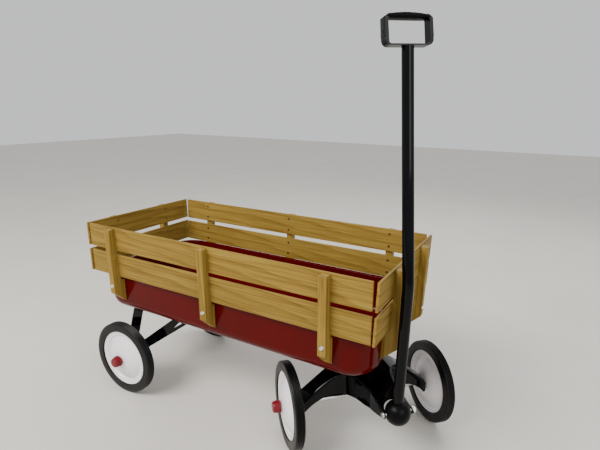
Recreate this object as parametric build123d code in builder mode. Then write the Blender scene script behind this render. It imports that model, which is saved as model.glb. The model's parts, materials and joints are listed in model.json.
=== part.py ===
from build123d import *
from math import cos, radians, sin, tan
import os

os.makedirs("parts", exist_ok=True)

# A child's pull wagon: a pressed steel tray with removable slatted wooden sides, on four
# disc wheels, steered by a yoke under the front that carries a folding pull handle.
# Millimetres. +X is forward, +Y is the wagon's left, +Z is up and the ground is at z = 0.
# It rests with the front axle turned to the right and the handle standing up.

# ---- driving dimensions -------------------------------------------------------------------
body_x = -53.0            # middle of the tray, so that the whole wagon is centred on the origin

tray_length = 864.0
tray_width = 375.0
tray_top = 374.2
tray_bottom = 259.5
tray_wall = 1.2
tray_corner_r = 72.0
tray_floor_r = 30.0
draft = 1.63              # degrees that the walls and the side panels lean outwards
bead_r = 5.2              # rolled rim
bead_out = 3.2            # rim roll's centre outside the wall

slat_height = 66.5
slat_thickness = 6.0
slat_gap = 12.2
slat_bottom = 372.4
slat_length = 874.0
end_slat_length = 412.0
slat_in = 9.5             # inner face of a slat, outwards from the tray wall

stake_width = 20.0
stake_out = 20.0          # how far a stake stands out of the slats
stake_drop = 81.4         # from the slats' lower edge to the stake's lowest point
stake_bevel = 35.0        # height of the bevel under a stake
stake_step = 12.0         # clears the rolled rim
stake_short = 3.0         # a stake's top below the upper slat's
side_stake_pitch = 336.5
side_stake_shift = -4.5   # the middle side stake, forward of the tray's middle
end_stake_y = 100.0
stake_bolt_drop = 25.4
bolt_r = 3.0
screw_r = 2.0
screw_spacing = 36.0
screw_depth = 12.0

wheel_r = 111.0
tyre_width = 24.0
wheel_plane_out = 203.5   # middle of the tyre from the wagon's middle
rim_r = 76.0              # barrel of the pressed wheel
flange_r = 83.5
lip = 7.5                 # rim's edges, out of the tyre's middle plane
sheet = 1.5               # sheet thickness of the pressed wheels
tyre_gap = 0.3            # between the tyre and its rim
axle_r = 6.0
running = 0.05            # radial clearance of a running fit
hub_r = 10.0
hub_in = 179.5
hub_out = 227.5
cap_in = 228.0
cap_length = 20.5
cap_r = 16.5
axle_half = 238.0

rear_axle_x = body_x - 336.5
steer_x = body_x + 349.1
steer_angle = -44.0       # degrees, turned to the right

plate = 2.5               # sheet thickness of the undercarriage
yoke_top = 209.0
yoke_end = 178.0
yoke_low = 98.0
yoke_round = 9.0          # pressed edge along the yoke's top
washer_thickness = 2.5
king_r = 6.0

ball_d = 190.0            # handle pivot, forward of the steering axis
ball_z = 185.0
ball_r = 29.5
mouth_r = 31.5
ear_out = 36.5
ear_r = 9.0
pivot_r = 4.0

pole_r = 12.5
pole_wall = 1.5
pole_start = (187.5, 165.0)
pole_bend = (193.0, 490.0)
pole_end = (120.8, 972.5)
pole_bend_r = 140.0

loop_width = 105.0
loop_height = 59.0
loop_side = 7.5           # front width of the loop's sides
loop_base = 3.0
loop_bar = 5.0            # top bar, inside the grip
loop_depth = 20.5
loop_tilt = 2.5           # degrees that the loop sits out of square on the pole
grip_low = 51.3
grip_high = 62.5
grip_ends = 56.0
grip_width = 98.0
grip_depth = 28.0

# ---- frames -------------------------------------------------------------------------------
lean = radians(draft)
steer = radians(steer_angle)
forward = Vector(cos(steer), sin(steer), 0)      # along the tongue
leftward = Vector(-sin(steer), cos(steer), 0)    # along the front axle
up = Vector(0, 0, 1)
steer_point = Vector(steer_x, 0, 0)

# Panel frames: x along the panel, y up its face, z outwards, on the tray's outer wall
# at the height of the slats' lower edge.
wall_y = tray_width / 2 + (slat_bottom - tray_top) * tan(lean)
wall_x = tray_length / 2 + (slat_bottom - tray_top) * tan(lean)
right_frame = Plane(
    origin=(body_x, -wall_y, slat_bottom), x_dir=(1, 0, 0), z_dir=(0, -cos(lean), -sin(lean))
)
left_frame = Plane(
    origin=(body_x, wall_y, slat_bottom), x_dir=(-1, 0, 0), z_dir=(0, cos(lean), -sin(lean))
)
front_frame = Plane(
    origin=(body_x + wall_x, 0, slat_bottom), x_dir=(0, 1, 0), z_dir=(cos(lean), 0, -sin(lean))
)
rear_frame = Plane(
    origin=(body_x - wall_x, 0, slat_bottom), x_dir=(0, -1, 0), z_dir=(-cos(lean), 0, -sin(lean))
)

# Frames of the steered parts, standing on the ground under the steering axis.
yoke_plan = Plane(origin=steer_point, x_dir=forward, z_dir=up)            # x forward, y left
yoke_side = Plane(origin=steer_point, x_dir=forward, z_dir=-leftward)     # x forward, y up
yoke_front = Plane(origin=steer_point, x_dir=leftward, z_dir=forward)     # x left, y up


def save(part, name):
    """Label a finished piece and write it under its node's name."""
    part.label = name
    export_step(part, f"parts/{name}.step")


def panel_point(frame, along, height, out):
    """A plane on a panel frame, facing outwards, at the given place."""
    origin = frame.from_local_coords(Vector(along, height, out))
    return Plane(origin=origin, x_dir=frame.x_dir, z_dir=frame.z_dir)


# ---- tray ---------------------------------------------------------------------------------
tray_depth = tray_top - tray_bottom
floor_inset = tray_depth * tan(lean)
bead_z = tray_top - bead_r
bead_line = bead_out - bead_r * tan(lean)        # rim roll's centre line outside the rim outline

side_stakes = {
    "rear": side_stake_shift - side_stake_pitch,
    "middle": side_stake_shift,
    "front": side_stake_shift + side_stake_pitch,
}
side_bolt_places = [
    (frame, way * along)
    for frame, way in ((right_frame, 1), (left_frame, -1))
    for along in side_stakes.values()
]
end_bolt_places = [
    (frame, stake * end_stake_y) for frame in (front_frame, rear_frame) for stake in (-1, 1)
]
dish_stud_ring = 61.0
rear_stud_places = [
    (rear_axle_x + 14.5, 100.0),
    (rear_axle_x + 173.0, 124.0),
    (rear_axle_x + 206.0, 124.0),
]
dish_stud_points = [
    (steer_x + dish_stud_ring * cos(radians(a)), dish_stud_ring * sin(radians(a)))
    for a in (45, 135, 225, 315)
]
rear_stud_points = [(x, side * y) for x, y in rear_stud_places for side in (-1, 1)]


def tub(inset):
    """The tray's outside shape as a solid, drawn in by the sheet's thickness for the inside."""
    with BuildPart() as shape:
        with BuildSketch(Plane.XY.offset(tray_bottom + inset)):
            with Locations((body_x, 0)):
                RectangleRounded(
                    tray_length - 2 * (floor_inset + inset),
                    tray_width - 2 * (floor_inset + inset),
                    tray_corner_r - floor_inset - inset,
                )
        extrude(amount=tray_depth, taper=-draft)
        fillet(shape.faces().sort_by(Axis.Z)[0].edges(), tray_floor_r - inset)
        split(bisect_by=Plane.XY.offset(tray_top + inset), keep=Keep.BOTTOM)
    return shape.part


tray_outside = tub(0)
tray_inside = tub(tray_wall)

with BuildSketch(Plane.XY.offset(bead_z)) as rim_outline:
    with Locations((body_x, 0)):
        RectangleRounded(
            tray_length + 2 * bead_line, tray_width + 2 * bead_line, tray_corner_r + bead_line
        )
rim_path = rim_outline.sketch.faces()[0].outer_wire()

with BuildPart() as tray:
    add(tray_outside)
    add(tray_inside, mode=Mode.SUBTRACT)
    with BuildSketch(Plane(origin=rim_path @ 0, z_dir=rim_path % 0)):
        Circle(bead_r)
    sweep(path=rim_path)
    for frame, along in side_bolt_places + end_bolt_places:
        with BuildSketch(panel_point(frame, along, -stake_bolt_drop, 5)):
            Circle(bolt_r)
        extrude(amount=-15, mode=Mode.SUBTRACT)
save(tray.part, "tray")

# ---- wooden sides -------------------------------------------------------------------------
slat_rows = {"lower": 0.0, "upper": slat_height + slat_gap}
panel_top = 2 * slat_height + slat_gap


def slat(frame, length, stakes):
    """A board with rounded edges, drilled for two screws at each stake."""
    with BuildPart() as board:
        with BuildSketch(frame.offset(slat_in)):
            with Locations((0, slat_height / 2)):
                Rectangle(length, slat_height)
        extrude(amount=slat_thickness)
        fillet(board.edges(), 1.2)
        with BuildSketch(frame.offset(slat_in - 1)):
            for along in stakes:
                with Locations((along, slat_height / 2)):
                    with GridLocations(1, screw_spacing, 1, 2):
                        Circle(screw_r)
        extrude(amount=slat_thickness + 2, mode=Mode.SUBTRACT)
    return board.part


def stake(frame, along):
    """An upright notched round the rolled rim and the slats, bevelled at its foot."""
    slat_face = slat_in + slat_thickness
    face = slat_face + stake_out
    side = Plane(
        origin=frame.from_local_coords(Vector(along + stake_width / 2, 0, 0)),
        x_dir=frame.z_dir,
        z_dir=-frame.x_dir,
    )
    with BuildPart() as upright:
        with BuildSketch(side):
            with BuildLine():
                Polyline(
                    (0, -stake_drop),
                    (face, -stake_drop + stake_bevel),
                    (face, panel_top - stake_short),
                    (slat_face, panel_top - stake_short),
                    (slat_face, 0),
                    (slat_in, 0),
                    (slat_in, -stake_step),
                    (0, -stake_step),
                    close=True,
                )
            make_face()
        extrude(amount=stake_width)
        outer_face = upright.faces().sort_by(Axis(side.origin, side.x_dir))[-1]
        fillet(outer_face.edges(), 1.5)
        with BuildSketch(frame.offset(slat_face - 1)):
            for row in slat_rows.values():
                with Locations((along, row + slat_height / 2)):
                    with GridLocations(1, screw_spacing, 1, 2):
                        Circle(screw_r)
        extrude(amount=screw_depth + 1, mode=Mode.SUBTRACT)
        with BuildSketch(frame.offset(-1)):
            with Locations((along, -stake_bolt_drop)):
                Circle(bolt_r)
        extrude(amount=face + 2, mode=Mode.SUBTRACT)
    return upright.part


panels = {
    "right": (right_frame, slat_length, side_stakes),
    "left": (left_frame, slat_length, {place: -x for place, x in side_stakes.items()}),
    "front": (front_frame, end_slat_length, {"right": -end_stake_y, "left": end_stake_y}),
    "rear": (rear_frame, end_slat_length, {"right": end_stake_y, "left": -end_stake_y}),
}
for side_name, (frame, length, stakes) in panels.items():
    for row_name, row in slat_rows.items():
        row_frame = panel_point(frame, 0, row, 0)
        save(slat(row_frame, length, stakes.values()), f"slat_{side_name}_{row_name}")
    for place, along in stakes.items():
        save(stake(frame, along), f"stake_{side_name}_{place}")


# Round-headed bolts through the stakes and the tray wall, with flange nuts inside the tray.
stake_bolt_seats = side_bolt_places + end_bolt_places
with BuildPart() as stake_bolts:
    for frame, along in stake_bolt_seats:
        face = slat_in + slat_thickness + stake_out
        with BuildSketch(panel_point(frame, along, -stake_bolt_drop, face)):
            Circle(bolt_r)
        extrude(amount=-(face + 12))
        with BuildSketch(panel_point(frame, along, -stake_bolt_drop, face)):
            Circle(6)
        extrude(amount=3.2, taper=28)
save(stake_bolts.part, "stake_bolts")

with BuildPart() as stake_nuts:
    for frame, along in stake_bolt_seats:
        seat = panel_point(frame, along, -stake_bolt_drop, -tray_wall - 0.1)
        with BuildSketch(seat):
            Circle(7.5)
            Circle(bolt_r, mode=Mode.SUBTRACT)
        extrude(amount=-1.2)
        with BuildSketch(seat.offset(-1.2)):
            RegularPolygon(5, 6, major_radius=False)
            Circle(bolt_r, mode=Mode.SUBTRACT)
        extrude(amount=-4.5)
save(stake_nuts.part, "stake_nuts")

with BuildPart() as slat_screws:
    for frame, _, stakes in panels.values():
        for row in slat_rows.values():
            centre = row + slat_height / 2
            for along in stakes.values():
                for height in (centre - screw_spacing / 2, centre + screw_spacing / 2):
                    seat = panel_point(frame, along, height, slat_in)
                    with BuildSketch(seat):
                        Circle(screw_r)
                    extrude(amount=slat_thickness + screw_depth)
                    with BuildSketch(seat):
                        Circle(3.6)
                    extrude(amount=-1.3, taper=25)
save(slat_screws.part, "slat_screws")

# ---- steering turntable -------------------------------------------------------------------
washer_top = yoke_top + 0.3 + washer_thickness
dish_rim_r = 74.0
dish_neck_r = 54.0
dish_seat_r = 46.0
nut_gap = 0.3
king_plane = Plane(origin=steer_point, x_dir=(1, 0, 0), z_dir=(0, -1, 0))
king_axis = Axis(origin=steer_point, direction=(0, 0, 1))

# Pressed dish under the tray, on which the yoke turns.
with BuildPart() as turntable_dish:
    with BuildSketch(king_plane):
        with BuildLine():
            Polyline(
                (king_r, washer_top),
                (dish_seat_r, washer_top),
                (dish_neck_r, tray_bottom - plate),
                (dish_rim_r, tray_bottom - plate),
                (dish_rim_r, tray_bottom),
                (dish_neck_r - plate, tray_bottom),
                (dish_seat_r - plate, washer_top + plate),
                (king_r, washer_top + plate),
                close=True,
            )
        make_face()
    revolve(axis=king_axis)
    with BuildSketch(Plane.XY.offset(tray_bottom - plate - 1)):
        with Locations(*dish_stud_points):
            Circle(bolt_r)
    extrude(amount=plate + 2, mode=Mode.SUBTRACT)
save(turntable_dish.part, "turntable_dish")

with BuildPart() as turntable_washer:
    with BuildSketch(Plane(origin=(steer_x, 0, washer_top - washer_thickness))):
        Circle(dish_seat_r - 2)
        Circle(king_r, mode=Mode.SUBTRACT)
    extrude(amount=washer_thickness)
save(turntable_washer.part, "turntable_washer")

king_seat = washer_top + plate
king_foot = yoke_top - plate - nut_gap - 11.0
with BuildPart() as king_bolt:
    with BuildSketch(Plane(origin=(steer_x, 0, king_foot))):
        Circle(king_r)
    extrude(amount=king_seat - king_foot)
    with BuildSketch(Plane(origin=(steer_x, 0, king_seat))):
        Circle(13)
    extrude(amount=5, taper=35)
save(king_bolt.part, "king_bolt")

with BuildPart() as king_nut:
    with BuildSketch(Plane(origin=(steer_x, 0, yoke_top - plate - nut_gap - 9.5))):
        RegularPolygon(9.5, 6, major_radius=False)
        Circle(king_r, mode=Mode.SUBTRACT)
    extrude(amount=9.5)
save(king_nut.part, "king_nut")


def studs(points):
    """Studs welded under the tray floor, each through one undercarriage sheet."""
    with BuildPart() as rods:
        with BuildSketch(Plane.XY.offset(tray_bottom)):
            with Locations(*points):
                Circle(bolt_r)
        extrude(amount=-(plate + 7))
    return rods.part


def stud_nuts(points):
    """The nuts of those studs, under the sheet."""
    with BuildPart() as nuts:
        with BuildSketch(Plane.XY.offset(tray_bottom - plate)):
            with Locations(*points):
                RegularPolygon(5, 6, major_radius=False)
                Circle(bolt_r, mode=Mode.SUBTRACT)
        extrude(amount=-5)
    return nuts.part


save(studs(dish_stud_points), "turntable_studs")
save(stud_nuts(dish_stud_points), "turntable_nuts")

# ---- rear axle carrier --------------------------------------------------------------------
strap_out = 178.0         # outer face of the strap's feet
strap_top = 152.0         # where its legs reach the tray
strap_width = 33.0
leg_bow = 12.0            # how far a leg bows to the rear
foot_r = strap_width / 2
rear_section = Plane(origin=(0, 0, 0), x_dir=(0, 1, 0), z_dir=(1, 0, 0))       # x left, y up
rear_profile = Plane(origin=(0, 0, 0), x_dir=(1, 0, 0), z_dir=(0, -1, 0))      # x forward, y up
sheet_mid = tray_bottom - plate / 2

with BuildPart() as strap_band:
    with BuildSketch(rear_section.offset(rear_axle_x - 60)):
        with BuildLine() as strap_line:
            FilletPolyline(
                (-strap_out + plate / 2, wheel_r - foot_r),
                (-strap_out + plate / 2, wheel_r + foot_r),
                (-strap_top + plate / 2, sheet_mid),
                (strap_top - plate / 2, sheet_mid),
                (strap_out - plate / 2, wheel_r + foot_r),
                (strap_out - plate / 2, wheel_r - foot_r),
                radius=16,
            )
        trace(strap_line.line, line_width=plate)
    extrude(amount=120)

with BuildPart() as rear_strap:
    with BuildSketch(rear_profile.offset(-250)):
        with BuildLine():
            top_rear = (rear_axle_x - 4, tray_bottom)
            top_front = (rear_axle_x - 4 + strap_width + 4, tray_bottom)
            foot_rear = (rear_axle_x - foot_r, wheel_r)
            foot_front = (rear_axle_x + foot_r, wheel_r)
            mid_rear = (rear_axle_x - leg_bow, (tray_bottom + wheel_r) / 2 + 12)
            mid_front = (rear_axle_x - leg_bow + strap_width + 5, (tray_bottom + wheel_r) / 2 + 12)
            ThreePointArc(top_rear, mid_rear, foot_rear)
            ThreePointArc(foot_rear, (rear_axle_x, wheel_r - foot_r), foot_front)
            ThreePointArc(foot_front, mid_front, top_front)
            Line(top_front, top_rear)
        make_face()
    extrude(amount=500)
    add(strap_band.part, mode=Mode.INTERSECT)
    with BuildSketch(rear_profile.offset(-250)):
        with Locations((rear_axle_x, wheel_r)):
            Circle(axle_r)
    extrude(amount=500, mode=Mode.SUBTRACT)
    with BuildSketch(Plane.XY.offset(tray_bottom - plate - 1)):
        with Locations(*rear_stud_points):
            Circle(bolt_r)
    extrude(amount=plate + 2, mode=Mode.SUBTRACT)
save(rear_strap.part, "rear_strap")

brace_foot_out = 172.0
brace_tab_in = 112.0
brace_rear_x = rear_axle_x + 160.5
brace_front_x = rear_axle_x + 219.0


def rear_brace(side):
    """A forked strut from the axle forwards and up to a tab under the tray."""
    with BuildPart() as band:
        with BuildSketch(rear_section.offset(rear_axle_x - 60)):
            with BuildLine() as brace_line:
                FilletPolyline(
                    (side * brace_foot_out, wheel_r - 15),
                    (side * brace_foot_out, wheel_r + 10),
                    (side * (strap_top - 10), sheet_mid),
                    (side * brace_tab_in, sheet_mid),
                    radius=10,
                )
            trace(brace_line.line, line_width=plate)
        extrude(amount=350)
    with BuildPart() as strut:
        with BuildSketch(rear_profile.offset(-250)):
            with BuildLine():
                Polyline(
                    (rear_axle_x - 9, wheel_r + 10),
                    (brace_rear_x, tray_bottom),
                    (brace_front_x, tray_bottom),
                    (rear_axle_x + 6, wheel_r - 8),
                    close=True,
                )
            make_face()
            with Locations((rear_axle_x, wheel_r)):
                Circle(14)
            with BuildLine():
                Polyline(
                    (rear_axle_x + 153, tray_bottom - 36),
                    (rear_axle_x + 172, tray_bottom - plate - 12),
                    (rear_axle_x + 184, tray_bottom - plate - 12),
                    close=True,
                )
            make_face(mode=Mode.SUBTRACT)
        extrude(amount=500)
        add(band.part, mode=Mode.INTERSECT)
        with BuildSketch(rear_profile.offset(-250)):
            with Locations((rear_axle_x, wheel_r)):
                Circle(axle_r)
        extrude(amount=500, mode=Mode.SUBTRACT)
        with BuildSketch(Plane.XY.offset(tray_bottom - plate - 1)):
            with Locations(*rear_stud_points):
                Circle(bolt_r)
        extrude(amount=plate + 2, mode=Mode.SUBTRACT)
    return strut.part


save(rear_brace(-1), "rear_brace_right")
save(rear_brace(1), "rear_brace_left")
save(studs(rear_stud_points), "rear_studs")
save(stud_nuts(rear_stud_points), "rear_nuts")

# ---- wheels and axles ---------------------------------------------------------------------
rear_axle_point = Vector(rear_axle_x, 0, wheel_r)
front_axle_point = Vector(steer_x, 0, wheel_r)


def axle_section(point, outward):
    """A sketch plane through an axle: x is radial and y runs outwards along the axle."""
    radial = outward.cross(up)
    return Plane(origin=point, x_dir=radial, z_dir=radial.cross(outward))


def turned(section, outline):
    """A ring turned about the axle from a closed outline of (radius, distance out)."""
    with BuildPart() as ring:
        with BuildSketch(section):
            with BuildLine():
                Polyline(*outline, close=True)
            make_face()
        revolve(axis=Axis(section.origin, section.y_dir))
    return ring.part


def bar(point, direction, radius, half_length):
    """A plain round axle."""
    with BuildPart() as rod:
        with BuildSketch(Plane(origin=point - direction * half_length, z_dir=direction)):
            Circle(radius)
        extrude(amount=2 * half_length)
    return rod.part


def tube_between(point, outward, radius, start, end):
    """A sleeve or washer round the axle, from start to end along it."""
    outline = [(axle_r, start), (radius, start), (radius, end), (axle_r, end)]
    return turned(axle_section(point, outward), outline)


def hub_cap(point, outward):
    """An acorn-shaped cap pushed on the axle's end."""
    end = cap_in + cap_length
    outline = [
        (axle_r, cap_in),
        (cap_r - 1, cap_in),
        (cap_r, cap_in + 1),
        (cap_r, cap_in + 7),
        (cap_r - 5.5, end - 4),
        (cap_r - 10.5, end),
        (0, end),
        (0, axle_half),
        (axle_r, axle_half),
    ]
    return turned(axle_section(point, outward), outline)


def wheel_disc(section):
    """The pressed steel wheel: two domed webs in a grooved rim that holds the tyre."""
    with BuildPart() as disc:
        with BuildSketch(section.offset(0)):
            for way in (-1, 1):
                with BuildLine() as web:
                    dome_start = (16, way * 21)
                    dome_end = (66, way * 3.5)
                    Line((hub_r - 1, way * 21), dome_start)
                    ThreePointArc(dome_start, (44, way * 15), dome_end)
                    Polyline(
                        dome_end, (69, way * 2), (71.5, way * 5), (rim_r, way * 5.7),
                        (flange_r, way * lip),
                    )
                trace(web.line, line_width=sheet)
            with BuildLine() as barrel:
                Line((rim_r, -5.7), (rim_r, 5.7))
            trace(barrel.line, line_width=sheet)
            with BuildLine():
                Polyline((0, -30), (hub_r, -30), (hub_r, 30), (0, 30), close=True)
            make_face(mode=Mode.SUBTRACT)
        revolve(axis=Axis(section.origin, section.y_dir))
    return disc.part


def tyre(section):
    """A solid rubber tyre with rounded shoulders and grooves round its tread."""
    half = tyre_width / 2
    seat_r = rim_r + sheet / 2 + tyre_gap
    seat = 4.2
    bead = lip - sheet / 2 - tyre_gap
    mouth = flange_r + sheet / 2 + tyre_gap
    grooves = []
    for middle in (-6.0, -2.0, 2.0, 6.0):
        grooves += [
            (wheel_r, middle - 0.9),
            (wheel_r - 1.2, middle - 0.5),
            (wheel_r - 1.2, middle + 0.5),
            (wheel_r, middle + 0.9),
        ]
    with BuildPart() as ring:
        with BuildSketch(section):
            with BuildLine():
                Polyline((wheel_r, -half + 3.5), *grooves, (wheel_r, half - 3.5))
                ThreePointArc((wheel_r, half - 3.5), (wheel_r - 1.2, half - 1), (wheel_r - 4, half))
                Polyline(
                    (wheel_r - 4, half),
                    (mouth + 3, half),
                    (mouth, half - 2),
                    (mouth, bead),
                    (seat_r, seat),
                    (seat_r, -seat),
                    (mouth, -bead),
                    (mouth, -half + 2),
                    (mouth + 3, -half),
                    (wheel_r - 4, -half),
                )
                ThreePointArc(
                    (wheel_r - 4, -half), (wheel_r - 1.2, -half + 1), (wheel_r, -half + 3.5)
                )
            make_face()
        revolve(axis=Axis(section.origin, section.y_dir))
    return ring.part


left = Vector(0, 1, 0)
wheel_places = {
    "front_right": (front_axle_point, -leftward),
    "front_left": (front_axle_point, leftward),
    "rear_right": (rear_axle_point, -left),
    "rear_left": (rear_axle_point, left),
}
for place, (point, outward) in wheel_places.items():
    section = axle_section(point + outward * wheel_plane_out, outward)
    save(wheel_disc(section), f"wheel_{place}")
    save(tyre(section), f"tyre_{place}")
    bush = [
        (axle_r + running, hub_in),
        (hub_r, hub_in),
        (hub_r, hub_out),
        (axle_r + running, hub_out),
    ]
    save(turned(axle_section(point, outward), bush), f"bush_{place}")

for end_name, point, direction, spacer_in in (
    ("front", front_axle_point, leftward, yoke_end),
    ("rear", rear_axle_point, left, strap_out),
):
    save(bar(point, direction, axle_r, axle_half), f"axle_{end_name}")
    with BuildPart() as caps:
        add(hub_cap(point, -direction))
        add(hub_cap(point, direction))
    save(caps.part, f"hub_caps_{end_name}")
    with BuildPart() as spacers:
        add(tube_between(point, -direction, 11, spacer_in, hub_in - 0.5))
        add(tube_between(point, direction, 11, spacer_in, hub_in - 0.5))
    save(spacers.part, f"axle_spacers_{end_name}")

# ---- steering yoke ------------------------------------------------------------------------
arm_half = 26.0           # half the arms' width at the wheels
king_back = 42.0          # rear edge behind the steering axis
tongue_end = 202.0
collar_d = 152.0          # where the tongue's top stops, short of the ball


def yoke_block(inset):
    """The yoke's outside shape, drawn in by the sheet's thickness for the inside."""
    arm = yoke_end - inset
    half = arm_half - inset
    neck = ear_out - inset
    tip = tongue_end + 2 * inset
    top = yoke_top - inset
    low = yoke_low - 2 * inset
    with BuildPart() as block:
        with BuildSketch(yoke_plan):
            with BuildLine():
                right_side = Spline(
                    (half, -arm),
                    (28 - inset, -112),
                    (36 - inset, -74),
                    (55 - inset / 2, -56 + inset),
                    (84, -45 + inset),
                    (122, -neck),
                )
                left_side = Spline(
                    (122, neck),
                    (84, 45 - inset),
                    (55 - inset / 2, 56 - inset),
                    (36 - inset, 74),
                    (28 - inset, 112),
                    (half, arm),
                )
                Polyline(right_side @ 1, (tip, -neck), (tip, neck), left_side @ 0)
                Line(left_side @ 1, (-half, arm))
                Spline((-half, arm), (-half - 4, 90), (-king_back + inset, 34))
                Line((-king_back + inset, 34), (-king_back + inset, -34))
                Spline((-king_back + inset, -34), (-half - 4, -90), (-half, -arm))
                Line((-half, -arm), right_side @ 0)
            make_face()
        extrude(amount=260)
        with BuildSketch(yoke_front.offset(-80)):
            with BuildLine():
                left_crown = Spline((50, top), (86, 194 - inset), (150, 150 - inset), (arm - 6, 133))
                ThreePointArc((arm - 6, 133), (arm - 1, 127), (arm, 118))
                Polyline((arm, 118), (arm, low), (-arm, low), (-arm, 118))
                ThreePointArc((-arm, 118), (-arm + 1, 127), (-arm + 6, 133))
                Spline((-arm + 6, 133), (-150, 150 - inset), (-86, 194 - inset), (-50, top))
                Line((-50, top), left_crown @ 0)
            make_face()
        extrude(amount=320, mode=Mode.INTERSECT)
        with BuildSketch(yoke_side.offset(-250)):
            with BuildLine():
                Polyline(
                    (-80, 60 - inset),
                    (-80, top),
                    (60, top),
                    (collar_d, 201 - inset),
                    (ball_d, ball_z + ear_r - inset),
                    (tongue_end + 10, ball_z + ear_r - inset),
                    (tongue_end + 10, 60 - inset),
                    close=True,
                )
            make_face()
        extrude(amount=500, mode=Mode.INTERSECT)
        fillet(pressed_edges(block.part), yoke_round - inset)
    return block.part


def pressed_edges(block):
    """Edges between the yoke's upright walls and its top."""
    faces = block.faces()
    upright = [face for face in faces if abs(face.normal_at().Z) < 0.05]
    others = [face for face in faces if abs(face.normal_at().Z) >= 0.05]
    top_edges = [edge for face in others for edge in face.edges() if edge.center().Z > 120]
    return [
        edge for face in upright for edge in face.edges()
        if any(edge.is_same(top_edge) for top_edge in top_edges)
    ]


yoke_outside = yoke_block(0)
yoke_inside = yoke_block(plate)
arch_end = yoke_end - 6

with BuildPart() as yoke:
    add(yoke_outside)
    add(yoke_inside, mode=Mode.SUBTRACT)
    # arch under the front flanges, from the wheels up to the tongue
    with BuildSketch(yoke_front):
        with BuildLine():
            arch_left = Spline((arch_end, yoke_low - 1), (130, 130), (76, 143), (0, 150))
            arch_right = Spline(arch_left @ 1, (-76, 143), (-130, 130), (-arch_end, yoke_low - 1))
            Polyline(arch_right @ 1, (-arch_end, 20), (arch_end, 20), arch_left @ 0)
        make_face()
    extrude(amount=62, mode=Mode.SUBTRACT)
    # rising lower edge of the tongue
    with BuildSketch(yoke_side.offset(-250)):
        with BuildLine():
            Polyline(
                (61, 146), (100, 150), (141, 159), (178, 171.5), (ball_d, ball_z - ear_r),
                (tongue_end + 10, ball_z - ear_r), (tongue_end + 10, 60), (61, 60), close=True,
            )
        make_face()
    extrude(amount=500, mode=Mode.SUBTRACT)
    # shallow arch under the rear flange
    with BuildSketch(yoke_front):
        with BuildLine():
            ThreePointArc((150, yoke_low - 1), (0, 107), (-150, yoke_low - 1))
            Line((-150, yoke_low - 1), (150, yoke_low - 1))
        make_face()
    extrude(amount=-100, mode=Mode.SUBTRACT)
    # open mouth for the ball, with a round-ended ear on each side
    with BuildSketch(Plane(origin=yoke_plan.from_local_coords(Vector(ball_d, 0, ball_z)))):
        Circle(mouth_r)
    extrude(amount=60, both=True, mode=Mode.SUBTRACT)
    with BuildSketch(yoke_side.offset(-60)):
        with Locations((ball_d + 20, ball_z)):
            Rectangle(40, 60)
        with Locations((ball_d, ball_z)):
            Circle(ear_r, mode=Mode.SUBTRACT)
    extrude(amount=120, mode=Mode.SUBTRACT)
    with BuildSketch(yoke_side.offset(-ear_out + plate)):
        with Locations((ball_d + 20, ball_z)):
            Rectangle(40, 60)
    extrude(amount=2 * (ear_out - plate), mode=Mode.SUBTRACT)
    with BuildSketch(yoke_side.offset(-60)):
        with Locations((ball_d, ball_z)):
            Circle(pivot_r)
    extrude(amount=120, mode=Mode.SUBTRACT)
    with BuildSketch(yoke_side.offset(-250)):
        with Locations((0, wheel_r)):
            Circle(axle_r)
    extrude(amount=500, mode=Mode.SUBTRACT)
    with BuildSketch(yoke_plan):
        Circle(king_r + running)
    extrude(amount=260, mode=Mode.SUBTRACT)
save(yoke.part, "yoke")

# ---- handle -------------------------------------------------------------------------------
ball_centre = yoke_side.from_local_coords(Vector(ball_d, ball_z, 0))


def in_side(point):
    """A point of the tongue's side view, in the wagon's frame."""
    return yoke_side.from_local_coords(Vector(point[0], point[1], 0))


pole_foot_plane = Plane(
    origin=in_side(pole_start), x_dir=leftward,
    z_dir=in_side(pole_bend) - in_side(pole_start),
)
with BuildLine(yoke_side) as pole_line:
    FilletPolyline(pole_start, pole_bend, pole_end, radius=pole_bend_r)

with BuildPart() as pole:
    with BuildSketch(pole_foot_plane):
        Circle(pole_r)
        Circle(pole_r - pole_wall, mode=Mode.SUBTRACT)
    sweep(path=pole_line.line)
    with BuildSketch(yoke_side.offset(-60)):
        with Locations((ball_d, ball_z)):
            Circle(pivot_r + running)
    extrude(amount=120, mode=Mode.SUBTRACT)
save(pole.part, "pole")

with BuildPart() as ball_cover:
    with BuildSketch(yoke_side):
        with BuildLine():
            ball_arc = CenterArc((ball_d, ball_z), ball_r, -90, 180)
            Line(ball_arc @ 1, ball_arc @ 0)
        make_face()
    revolve(axis=Axis(ball_centre, (0, 0, 1)))
    with BuildSketch(pole_foot_plane):
        Circle(pole_r)
    extrude(amount=80, mode=Mode.SUBTRACT)
    with BuildSketch(yoke_side.offset(-60)):
        with Locations((ball_d, ball_z)):
            Circle(pivot_r + running)
    extrude(amount=120, mode=Mode.SUBTRACT)
save(ball_cover.part, "ball_cover")

# Pivot bolt through the yoke's ears, the ball and the pole.
with BuildPart() as pivot_bolt:
    with BuildSketch(yoke_side.offset(-ear_out - 8)):
        with Locations((ball_d, ball_z)):
            Circle(pivot_r)
    extrude(amount=2 * ear_out + 8)
    with BuildSketch(yoke_side.offset(ear_out)):
        with Locations((ball_d, ball_z)):
            Circle(7)
    extrude(amount=3.5, taper=25)
save(pivot_bolt.part, "pivot_bolt")

with BuildPart() as pivot_nut:
    with BuildSketch(yoke_side.offset(-ear_out)):
        with Locations((ball_d, ball_z)):
            RegularPolygon(6.5, 6, major_radius=False)
            Circle(pivot_r, mode=Mode.SUBTRACT)
    extrude(amount=-6.5)
save(pivot_nut.part, "pivot_nut")

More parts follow.
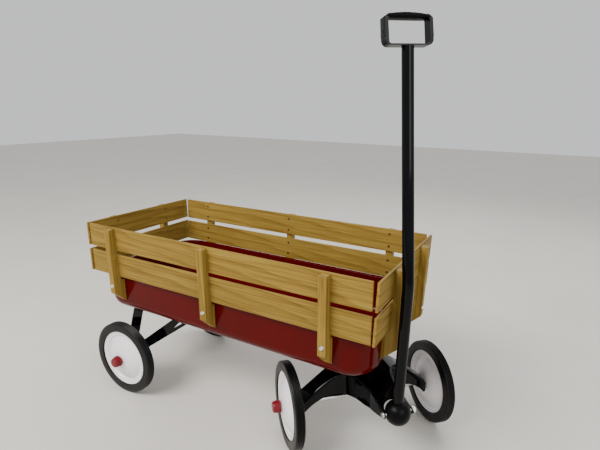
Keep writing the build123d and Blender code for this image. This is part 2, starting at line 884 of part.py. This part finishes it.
# Hand loop: a bent steel band across the pole's top, with a moulded grip round its top bar.
pole_top_dir = (in_side(pole_end) - in_side(pole_bend)).normalized()
tilt = radians(loop_tilt)
loop_across = leftward * cos(tilt) + pole_top_dir * sin(tilt)
loop_frame = Plane(
    origin=in_side(pole_end), x_dir=loop_across, z_dir=leftward.cross(pole_top_dir)
)
loop_corner = 12.0
loop_hole = loop_height - loop_base - loop_bar

with BuildPart() as hand_loop:
    with BuildSketch(loop_frame):
        with Locations((0, loop_height / 2)):
            RectangleRounded(loop_width, loop_height, loop_corner)
        with Locations((0, loop_base + loop_hole / 2)):
            RectangleRounded(loop_width - 2 * loop_side, loop_hole, 5, mode=Mode.SUBTRACT)
    extrude(amount=loop_depth / 2, both=True)
    add(pole.part, mode=Mode.SUBTRACT)
save(hand_loop.part, "hand_loop")

with BuildPart() as hand_grip:
    with BuildSketch(loop_frame):
        with BuildLine():
            half = grip_width / 2
            Polyline((-half, grip_ends), (-half + 1, grip_low), (half - 1, grip_low), (half, grip_ends))
            ThreePointArc((half, grip_ends), (0, grip_high), (-half, grip_ends))
        make_face()
    extrude(amount=grip_depth / 2, both=True)
    add(hand_loop.part, mode=Mode.SUBTRACT)
save(hand_grip.part, "hand_grip")

loop_rivet_height = 27.0
with BuildPart() as loop_rivets:
    for way in (-1, 1):
        seat = Plane(
            origin=loop_frame.from_local_coords(Vector(way * loop_width / 2, loop_rivet_height, 0)),
            z_dir=loop_across * way,
        )
        with BuildSketch(seat):
            Circle(3.5)
        extrude(amount=1.5, taper=20)
save(loop_rivets.part, "loop_rivets")
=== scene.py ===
import bpy, json
from math import cos, sin, pi
from mathutils import Matrix, Vector


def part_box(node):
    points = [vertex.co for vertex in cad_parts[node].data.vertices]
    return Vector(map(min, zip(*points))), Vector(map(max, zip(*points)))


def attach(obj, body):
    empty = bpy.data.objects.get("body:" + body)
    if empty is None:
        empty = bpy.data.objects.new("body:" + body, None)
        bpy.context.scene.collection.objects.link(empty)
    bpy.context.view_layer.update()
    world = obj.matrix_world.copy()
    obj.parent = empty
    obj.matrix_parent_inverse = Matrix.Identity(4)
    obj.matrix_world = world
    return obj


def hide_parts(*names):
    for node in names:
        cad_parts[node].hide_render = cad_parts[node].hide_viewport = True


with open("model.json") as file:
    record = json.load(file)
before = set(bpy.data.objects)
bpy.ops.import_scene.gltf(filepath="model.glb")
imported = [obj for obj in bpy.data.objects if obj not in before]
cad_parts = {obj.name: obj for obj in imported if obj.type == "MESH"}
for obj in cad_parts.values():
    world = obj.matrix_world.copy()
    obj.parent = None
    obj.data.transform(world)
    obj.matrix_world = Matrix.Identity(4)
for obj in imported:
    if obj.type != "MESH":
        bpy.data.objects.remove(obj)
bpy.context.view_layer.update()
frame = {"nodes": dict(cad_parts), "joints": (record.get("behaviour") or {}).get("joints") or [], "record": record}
nodes, record = frame["nodes"], frame["record"]
scene = bpy.context.scene
UP = Vector((0, 0, 1))


# ---- camera -------------------------------------------------------------------------------
place = Vector((0.67496, -1.02581, 0.85838))
yaw, pitch, roll = -0.5131, 0.2575, 0.0136
look = Vector((sin(yaw) * cos(pitch), cos(yaw) * cos(pitch), -sin(pitch)))
level = look.cross(UP).normalized()
above = level.cross(look)
side = cos(roll) * level + sin(roll) * above
top = -sin(roll) * level + cos(roll) * above
data = bpy.data.cameras.new("camera")
data.sensor_width = 36
data.lens = 27.44
camera = bpy.data.objects.new("camera", data)
scene.collection.objects.link(camera)
pose = Matrix((side, top, -look)).transposed().to_4x4()
pose.translation = place
camera.matrix_world = pose
scene.camera = camera


# ---- materials ----------------------------------------------------------------------------
class Shader:
    """A principled material with short helpers for its node tree."""

    def __init__(self, name, **values):
        self.material = bpy.data.materials.new(name)
        self.material.use_nodes = True
        self.nodes = self.material.node_tree.nodes
        self.bsdf = self.nodes["Principled BSDF"]
        for key, value in values.items():
            self.bsdf.inputs[key.replace("_", " ")].default_value = value

    def add(self, kind, **values):
        node = self.nodes.new(kind)
        for key, value in values.items():
            node.inputs[key.replace("_", " ")].default_value = value
        return node

    def link(self, out, into):
        self.material.node_tree.links.new(out, into)

    def coords(self, scale=(1, 1, 1), shift=(0, 0, 0)):
        source = self.nodes.new("ShaderNodeTexCoord")
        mapping = self.add("ShaderNodeMapping", Scale=scale, Location=shift)
        self.link(source.outputs["Object"], mapping.inputs["Vector"])
        return mapping.outputs["Vector"]

    def noise(self, vector, scale, detail=4, rough=0.5):
        node = self.add("ShaderNodeTexNoise", Scale=scale, Detail=detail, Roughness=rough)
        self.link(vector, node.inputs["Vector"])
        return node.outputs["Fac"]

    def ramp(self, fac, stops):
        node = self.nodes.new("ShaderNodeValToRGB")
        line = node.color_ramp
        while len(line.elements) < len(stops):
            line.elements.new(0.5)
        for element, (spot, color) in zip(line.elements, stops):
            element.position = spot
            element.color = (*color, 1)
        self.link(fac, node.inputs["Fac"])
        return node.outputs["Color"]

    def spread(self, fac, low, high):
        node = self.add("ShaderNodeMapRange", To_Min=low, To_Max=high)
        self.link(fac, node.inputs["Value"])
        return node.outputs["Result"]

    def mix(self, mode, fac, a, b):
        node = self.nodes.new("ShaderNodeMix")
        node.data_type = "RGBA"
        node.blend_type = mode
        node.inputs[0].default_value = fac
        self.link(a, node.inputs[6])
        self.link(b, node.inputs[7])
        return node.outputs[2]

    def bump(self, height, strength, distance):
        node = self.add("ShaderNodeBump", Strength=strength, Distance=distance)
        self.link(height, node.inputs["Height"])
        self.link(node.outputs["Normal"], self.bsdf.inputs["Normal"])

    def color(self, out):
        self.link(out, self.bsdf.inputs["Base Color"])

    def roughness(self, out):
        self.link(out, self.bsdf.inputs["Roughness"])


def gloss(name, dark, light, rough, coat, shine=0.5, grain=60, wave=0.15, ripple=0.0004):
    """Sprayed enamel or moulded gloss plastic: faint clouding, uneven gloss and a slight orange peel."""
    s = Shader(name, Coat_Weight=coat, Coat_Roughness=0.05, Specular_IOR_Level=shine)
    spot = s.coords()
    s.color(s.ramp(s.noise(spot, 9, 5), [(0.3, dark), (0.7, light)]))
    s.roughness(s.spread(s.noise(spot, 24, 6, 0.6), *rough))
    s.bump(s.noise(spot, grain, 3), wave, ripple)
    return s.material


def wood(name, along, shift, tone=1.0):
    """Varnished softwood: long growth rings, fine fibres and darker pores running along one axis."""
    s = Shader(name, Specular_IOR_Level=0.10)

    def stretched(lengthwise, across):
        return tuple(lengthwise if axis == along else across for axis in range(3))

    broad = s.coords(stretched(0.9, 9.0), shift)
    rings = s.add("ShaderNodeTexWave", Scale=2.2, Distortion=7.0, Detail=3.0, Detail_Scale=1.0)
    rings.bands_direction = "DIAGONAL"
    rings.wave_profile = "SAW"
    s.link(broad, rings.inputs["Vector"])
    fibres = s.noise(s.coords(stretched(5, 420), shift), 2.0, 6, 0.65)
    streaks = s.noise(s.coords(stretched(1.6, 130), shift), 2.2, 5, 0.6)
    clouds = s.noise(s.coords(stretched(2.2, 7), shift), 1.6, 3)
    base = s.ramp(rings.outputs["Fac"], [
        (0.0, (0.312 * tone, 0.207 * tone, 0.044 * tone)),
        (0.60, (0.288 * tone, 0.188 * tone, 0.039 * tone)),
        (0.94, (0.222 * tone, 0.138 * tone, 0.026 * tone)),
        (1.0, (0.302 * tone, 0.200 * tone, 0.042 * tone)),
    ])
    streaked = s.ramp(streaks, [(0.36, (0.60, 0.50, 0.36)), (0.56, (1.0, 1.0, 1.0))])
    fibred = s.ramp(fibres, [(0.36, (0.68, 0.60, 0.48)), (0.52, (1.0, 1.0, 1.0)), (0.70, (1.12, 1.12, 1.10))])
    clouded = s.ramp(clouds, [(0.3, (0.91, 0.90, 0.87)), (0.7, (1.05, 1.05, 1.03))])
    mixed = s.mix("MULTIPLY", 0.7, base, streaked)
    mixed = s.mix("MULTIPLY", 0.7, mixed, fibred)
    mixed = s.mix("MULTIPLY", 0.8, mixed, clouded)
    s.color(mixed)
    s.roughness(s.spread(fibres, 0.42, 0.60))
    s.bump(fibres, 0.25, 0.0006)
    return s.material


def rubber(name):
    s = Shader(name, Specular_IOR_Level=0.24)
    spot = s.coords()
    s.color(s.ramp(s.noise(spot, 30, 5), [(0.3, (0.0008, 0.0008, 0.001)), (0.75, (0.0025, 0.0025, 0.003))]))
    s.roughness(s.spread(s.noise(spot, 40, 6, 0.6), 0.26, 0.42))
    s.bump(s.noise(spot, 420, 4), 0.2, 0.0004)
    return s.material


def plated(name, dark, light, rough):
    s = Shader(name, Metallic=1.0)
    spot = s.coords()
    s.color(s.ramp(s.noise(spot, 90, 5), [(0.3, dark), (0.7, light)]))
    s.roughness(s.spread(s.noise(spot, 160, 5), *rough))
    s.bump(s.noise(spot, 300, 3), 0.1, 0.0003)
    return s.material


finishes = {
    "red_enamel": gloss(
        "red_enamel", (0.070, 0.0003, 0.0002), (0.086, 0.0005, 0.0003),
        (0.12, 0.20), 0.0, 0.11),
    "black_enamel": gloss(
        "black_enamel", (0.0003, 0.0004, 0.0006), (0.0008, 0.0010, 0.0016),
        (0.07, 0.12), 0.0, 0.15),
    "white_enamel": gloss("white_enamel", (0.84, 0.81, 0.825), (0.90, 0.875, 0.885), (0.18, 0.30), 0.4),
    "red_plastic": gloss(
        "red_plastic", (0.150, 0.0060, 0.0120), (0.18, 0.0085, 0.0150),
        (0.20, 0.30), 0.0, 0.30),
    "black_plastic": gloss(
        "black_plastic", (0.0005, 0.0005, 0.0008), (0.001, 0.001, 0.0014),
        (0.30, 0.42), 0.0, 0.10, grain=380, wave=0.25),
    "nylon": gloss("nylon", (0.66, 0.65, 0.61), (0.74, 0.73, 0.69), (0.42, 0.55), 0.0),
    "tyre_rubber": rubber("tyre_rubber"),
    "zinc": plated("zinc", (0.55, 0.55, 0.52), (0.70, 0.70, 0.68), (0.22, 0.36)),
    "dark_screws": plated("dark_screws", (0.16, 0.11, 0.05), (0.26, 0.18, 0.08), (0.35, 0.5)),
}


def dress(obj, material):
    obj.data.materials.clear()
    obj.data.materials.append(material)


def grain_axis(name):
    """A stake's grain stands up; a slat's runs along the tray or across its ends."""
    if name.startswith("stake_"):
        return 2
    return 1 if "front" in name or "rear" in name else 0


for number, part in enumerate(record["subparts"]):
    name, finish = part["node"], part["material_slot"]
    if finish == "wood":
        shift = (0.37 * number, 0.53 * number + 0.1, 0.29 * number)
        tone = 0.94 + 0.025 * (number * 7 % 5)
        material = wood(f"wood_{name}", grain_axis(name), shift, tone)
    else:
        material = finishes[finish]
    dress(nodes[name], material)


# ---- turned pieces ------------------------------------------------------------------------
def middle(node):
    low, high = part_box(node)
    return (Vector(low) + Vector(high)) / 2


def publish(name, verts, faces, finish, body, angle=0.6):
    """A smooth-shaded piece with its finish, riding a body."""
    mesh = bpy.data.meshes.new(name)
    mesh.from_pydata(verts, [], faces)
    mesh.update()
    mesh.polygons.foreach_set("use_smooth", [True] * len(mesh.polygons))
    obj = bpy.data.objects.new(name, mesh)
    scene.collection.objects.link(obj)
    dress(obj, finishes[finish])
    sharpen(obj, angle)
    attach(obj, body)
    return obj


def lathe(name, centre, axis, profile, finish, body, steps=128):
    """A ring turned about an axis from a closed outline of (radius, distance along the axis)."""
    axis = axis.normalized()
    first = axis.orthogonal().normalized()
    second = axis.cross(first)
    verts, faces = [], []
    for step in range(steps):
        angle = 2 * pi * step / steps
        radial = cos(angle) * first + sin(angle) * second
        verts += [centre + r * radial + t * axis for r, t in profile]
    count = len(profile)
    for step in range(steps):
        here, there = step * count, (step + 1) % steps * count
        for k in range(count):
            j = (k + 1) % count
            faces.append((here + k, here + j, there + j, there + k))
    return publish(name, verts, faces, finish, body)


def sharpen(obj, angle):
    """Keeps edges over an angle sharp under smooth shading."""
    mesh = obj.data
    sharp, faces = [], {}
    for polygon in mesh.polygons:
        for key in polygon.edge_keys:
            faces.setdefault(key, []).append(polygon.normal)
    for edge in mesh.edges:
        pair = faces.get(edge.key, [])
        sharp.append(len(pair) == 2 and pair[0].angle(pair[1], 0) > angle)
    mesh.edges.foreach_set("use_edge_sharp", sharp)


def arc(x0, y0, r, start, end, count):
    """Points of a circle between two angles in degrees."""
    angles = [start + (end - start) * k / count for k in range(count + 1)]
    return [(x0 + r * cos(a * pi / 180), y0 + r * sin(a * pi / 180)) for a in angles]


def eased(points, count):
    """A smooth curve through the points (Catmull-Rom)."""
    line = []
    padded = [points[0], *points, points[-1]]
    for a, b, c, d in zip(padded, padded[1:], padded[2:], padded[3:]):
        for k in range(count):
            t = k / count
            line.append(tuple(
                0.5 * (2 * q + (r - p) * t + (2 * p - 5 * q + 4 * r - s) * t * t
                       + (3 * q - p - 3 * r + s) * t ** 3)
                for p, q, r, s in zip(a, b, c, d)
            ))
    return [*line, points[-1]]


def mirrored(points):
    """The same outline on the other side of the middle plane, in the order that goes on round."""
    return [(r, -t) for r, t in reversed(points)]


spins = {joint["child"]: joint for joint in frame["joints"] if joint["name"].startswith("spin_")}
for body, joint in spins.items():
    spot = body.removeprefix("wheel_")
    centre = middle(f"tyre_{spot}")
    low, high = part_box(f"tyre_{spot}")
    radius = (high[2] - low[2]) / 2
    hub = Vector(joint["pos_m"])
    axis = (centre - hub).normalized()
    half = 0.012
    bore = [(0.0775, 0.0040), (0.0790, 0.0052)]
    shoulder = [
        (0.0852, 0.0068), (0.0852, 0.0096), *arc(0.0876, 0.0096, 0.0024, 180, 90, 6),
        (0.0935, half), (0.0941, half - 0.0005), (0.0949, half - 0.0005), (0.0955, half),
        (radius - 0.0048, half), (radius - 0.0030, half - 0.0004), (radius - 0.0014, half - 0.0014),
        (radius - 0.0003, half - 0.0026),
    ]
    ridges = []
    for k in range(85):
        y = 0.0084 - 0.0002 * k
        ridges.append((radius - 0.0010 + 0.0010 * cos(2 * pi * y / 0.0042), y))
    profile = [*bore, *shoulder, *ridges, *mirrored(shoulder), *mirrored(bore)]
    tyre = lathe(f"ribbed_tyre_{spot}", centre, axis, profile, "tyre_rubber", body, steps=160)
    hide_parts(f"tyre_{spot}")

    dome = eased([(0.0160, 0.0212), (0.030, 0.0193), (0.045, 0.0152), (0.058, 0.0090), (0.0665, 0.0040)], 6)
    web = [
        (0.0100, 0.0216), (0.0152, 0.0216), *dome,
        *eased([(0.0675, 0.0034), (0.0692, 0.0030), (0.0708, 0.0042), (0.0722, 0.0060)], 3),
        (0.0760, 0.0067), (0.0800, 0.0072), (0.0832, 0.0083), (0.0842, 0.0084), (0.0845, 0.0077),
        (0.0838, 0.0068), (0.0800, 0.0056), (0.0770, 0.0046),
    ]
    profile = [*web, *mirrored(web)]
    disc = lathe(f"pressed_wheel_{spot}", centre, axis, profile, "white_enamel", body)
    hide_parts(f"wheel_{spot}")

for end, body in (("front", "steering"), ("rear", "wagon")):
    for way in ("right", "left"):
        hub = Vector(spins[f"wheel_{end}_{way}"]["pos_m"])
        axis = (middle(f"tyre_{end}_{way}") - hub).normalized()
        profile = [
            (0.0062, 0.2281), (0.0150, 0.2281), (0.0163, 0.2286), (0.0165, 0.2296), (0.0165, 0.2342),
            *eased([(0.0162, 0.2352), (0.0146, 0.2425), (0.0132, 0.2463), (0.0112, 0.2479),
                    (0.0080, 0.2483), (0.0003, 0.2484)], 4),
            (0.0002, 0.2384), (0.0062, 0.2384),
        ]
        lathe(f"hub_cap_{end}_{way}", hub, axis, profile, "red_plastic", body, steps=64)
    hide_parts(f"hub_caps_{end}")


# ---- hand loop and grip -------------------------------------------------------------------
def skin(name, rings, finish, body):
    """A closed shape drawn over rings of points, with a flat lid on each end."""
    count = len(rings[0])
    verts = [point for ring in rings for point in ring]
    faces = [tuple(range(count - 1, -1, -1)), tuple(range(len(verts) - count, len(verts)))]
    for row in range(len(rings) - 1):
        here, there = row * count, (row + 1) * count
        for k in range(count):
            j = (k + 1) % count
            faces.append((here + k, here + j, there + j, there + k))
    return publish(name, verts, faces, finish, body)


def rounded(half_width, half_height, radius, steps=5):
    """A rectangle with rounded corners as points about its middle."""
    corners = ((1, 1, 0), (-1, 1, 90), (-1, -1, 180), (1, -1, 270))
    wide, high = half_width - radius, half_height - radius
    return [
        point
        for sx, sy, start in corners
        for point in arc(sx * wide, sy * high, radius, start, start + 90, steps)
    ]


fold = next(joint for joint in frame["joints"] if joint["name"] == "handle_fold")
leftward = Vector(fold["axis"]).normalized()
tilt = 0.0436             # the loop sits out of square on the pole by this angle
pole_up = Vector((-0.1065, 0.1028, 0.989)).normalized()
across = cos(tilt) * leftward + sin(tilt) * pole_up
loop_up = cos(tilt) * pole_up - sin(tilt) * leftward
loop_out = across.cross(loop_up)
loop_middle = middle("hand_loop")

grip_rings = []
grip_half = 0.0475
for k in range(25):
    u = -1 + k / 12
    along = grip_half * u
    full = (1 - abs(u) ** 5) ** 0.5 if abs(u) < 1 else 0.0
    deep = 0.0104 + 0.0036 * full
    low_edge = 0.0198 + 0.0012 * u ** 4
    high_edge = 0.0276 + 0.0068 * (1 - u * u) ** 0.6
    centre = loop_middle + along * across + (low_edge + high_edge) / 2 * loop_up
    tall = (high_edge - low_edge) / 2
    outline = [(deep * cos(pi * a / 16), tall * sin(pi * a / 16)) for a in range(32)]
    grip_rings.append([centre + x * loop_out + y * loop_up for x, y in outline])
grip = skin("moulded_grip", grip_rings, "black_plastic", "handle")
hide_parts("hand_grip")

# The loop's band is doubled down each side, where its ends lap.
for way in (-1, 1):
    lap_rings = []
    for height in (-0.0175, -0.0168, 0.0190, 0.0197):
        flare = 0.0 if abs(height - 0.0008) > 0.018 else 0.0007
        centre = loop_middle + way * (0.0525 + flare / 2 - 0.0004) * across + (height + 0.004) * loop_up
        outline = rounded(0.0100 + flare * 0.2, 0.0006 + flare / 2, 0.0005)
        lap_rings.append([centre + x * loop_out + y * across for x, y in outline])
    skin(f"loop_lap_{'left' if way > 0 else 'right'}", lap_rings, "black_enamel", "handle")

# ---- floor and light ----------------------------------------------------------------------
mesh = bpy.data.meshes.new("floor")
mesh.from_pydata([(-9, -9, 0), (9, -9, 0), (9, 9, 0), (-9, 9, 0)], [], [(0, 1, 2, 3)])
floor = bpy.data.objects.new("floor", mesh)
scene.collection.objects.link(floor)
ground = Shader("floor", Roughness=0.55, Specular_IOR_Level=0.3)
ground.color(ground.ramp(
    ground.noise(ground.coords(), 3, 3), [(0.3, (0.66, 0.63, 0.57)), (0.7, (0.70, 0.67, 0.61))]
))
dress(floor, ground.material)

world = bpy.data.worlds.new("world")
scene.world = world
world.use_nodes = True
backdrop = world.node_tree.nodes["Background"]
backdrop.inputs["Color"].default_value = (0.92, 0.93, 0.95, 1)
backdrop.inputs["Strength"].default_value = 0.85


def softbox(name, spot, target, width, height, watts, tint=(1, 1, 1)):
    light = bpy.data.lights.new(name, "AREA")
    light.shape = "RECTANGLE"
    light.size, light.size_y = width, height
    light.energy = watts
    light.color = tint
    lamp = bpy.data.objects.new(name, light)
    scene.collection.objects.link(lamp)
    lamp.location = spot
    lamp.rotation_euler = (Vector(target) - Vector(spot)).to_track_quat("-Z", "Y").to_euler()


softbox("key", (-0.9, -2.2, 2.6), (0, 0, 0.3), 1.8, 1.0, 120, (1.0, 0.98, 0.95))
softbox("fill", (2.4, -1.2, 1.6), (0, 0, 0.3), 1.6, 1.2, 22)
softbox("rim", (0.4, 2.4, 2.2), (0, 0, 0.3), 2.4, 0.8, 30)
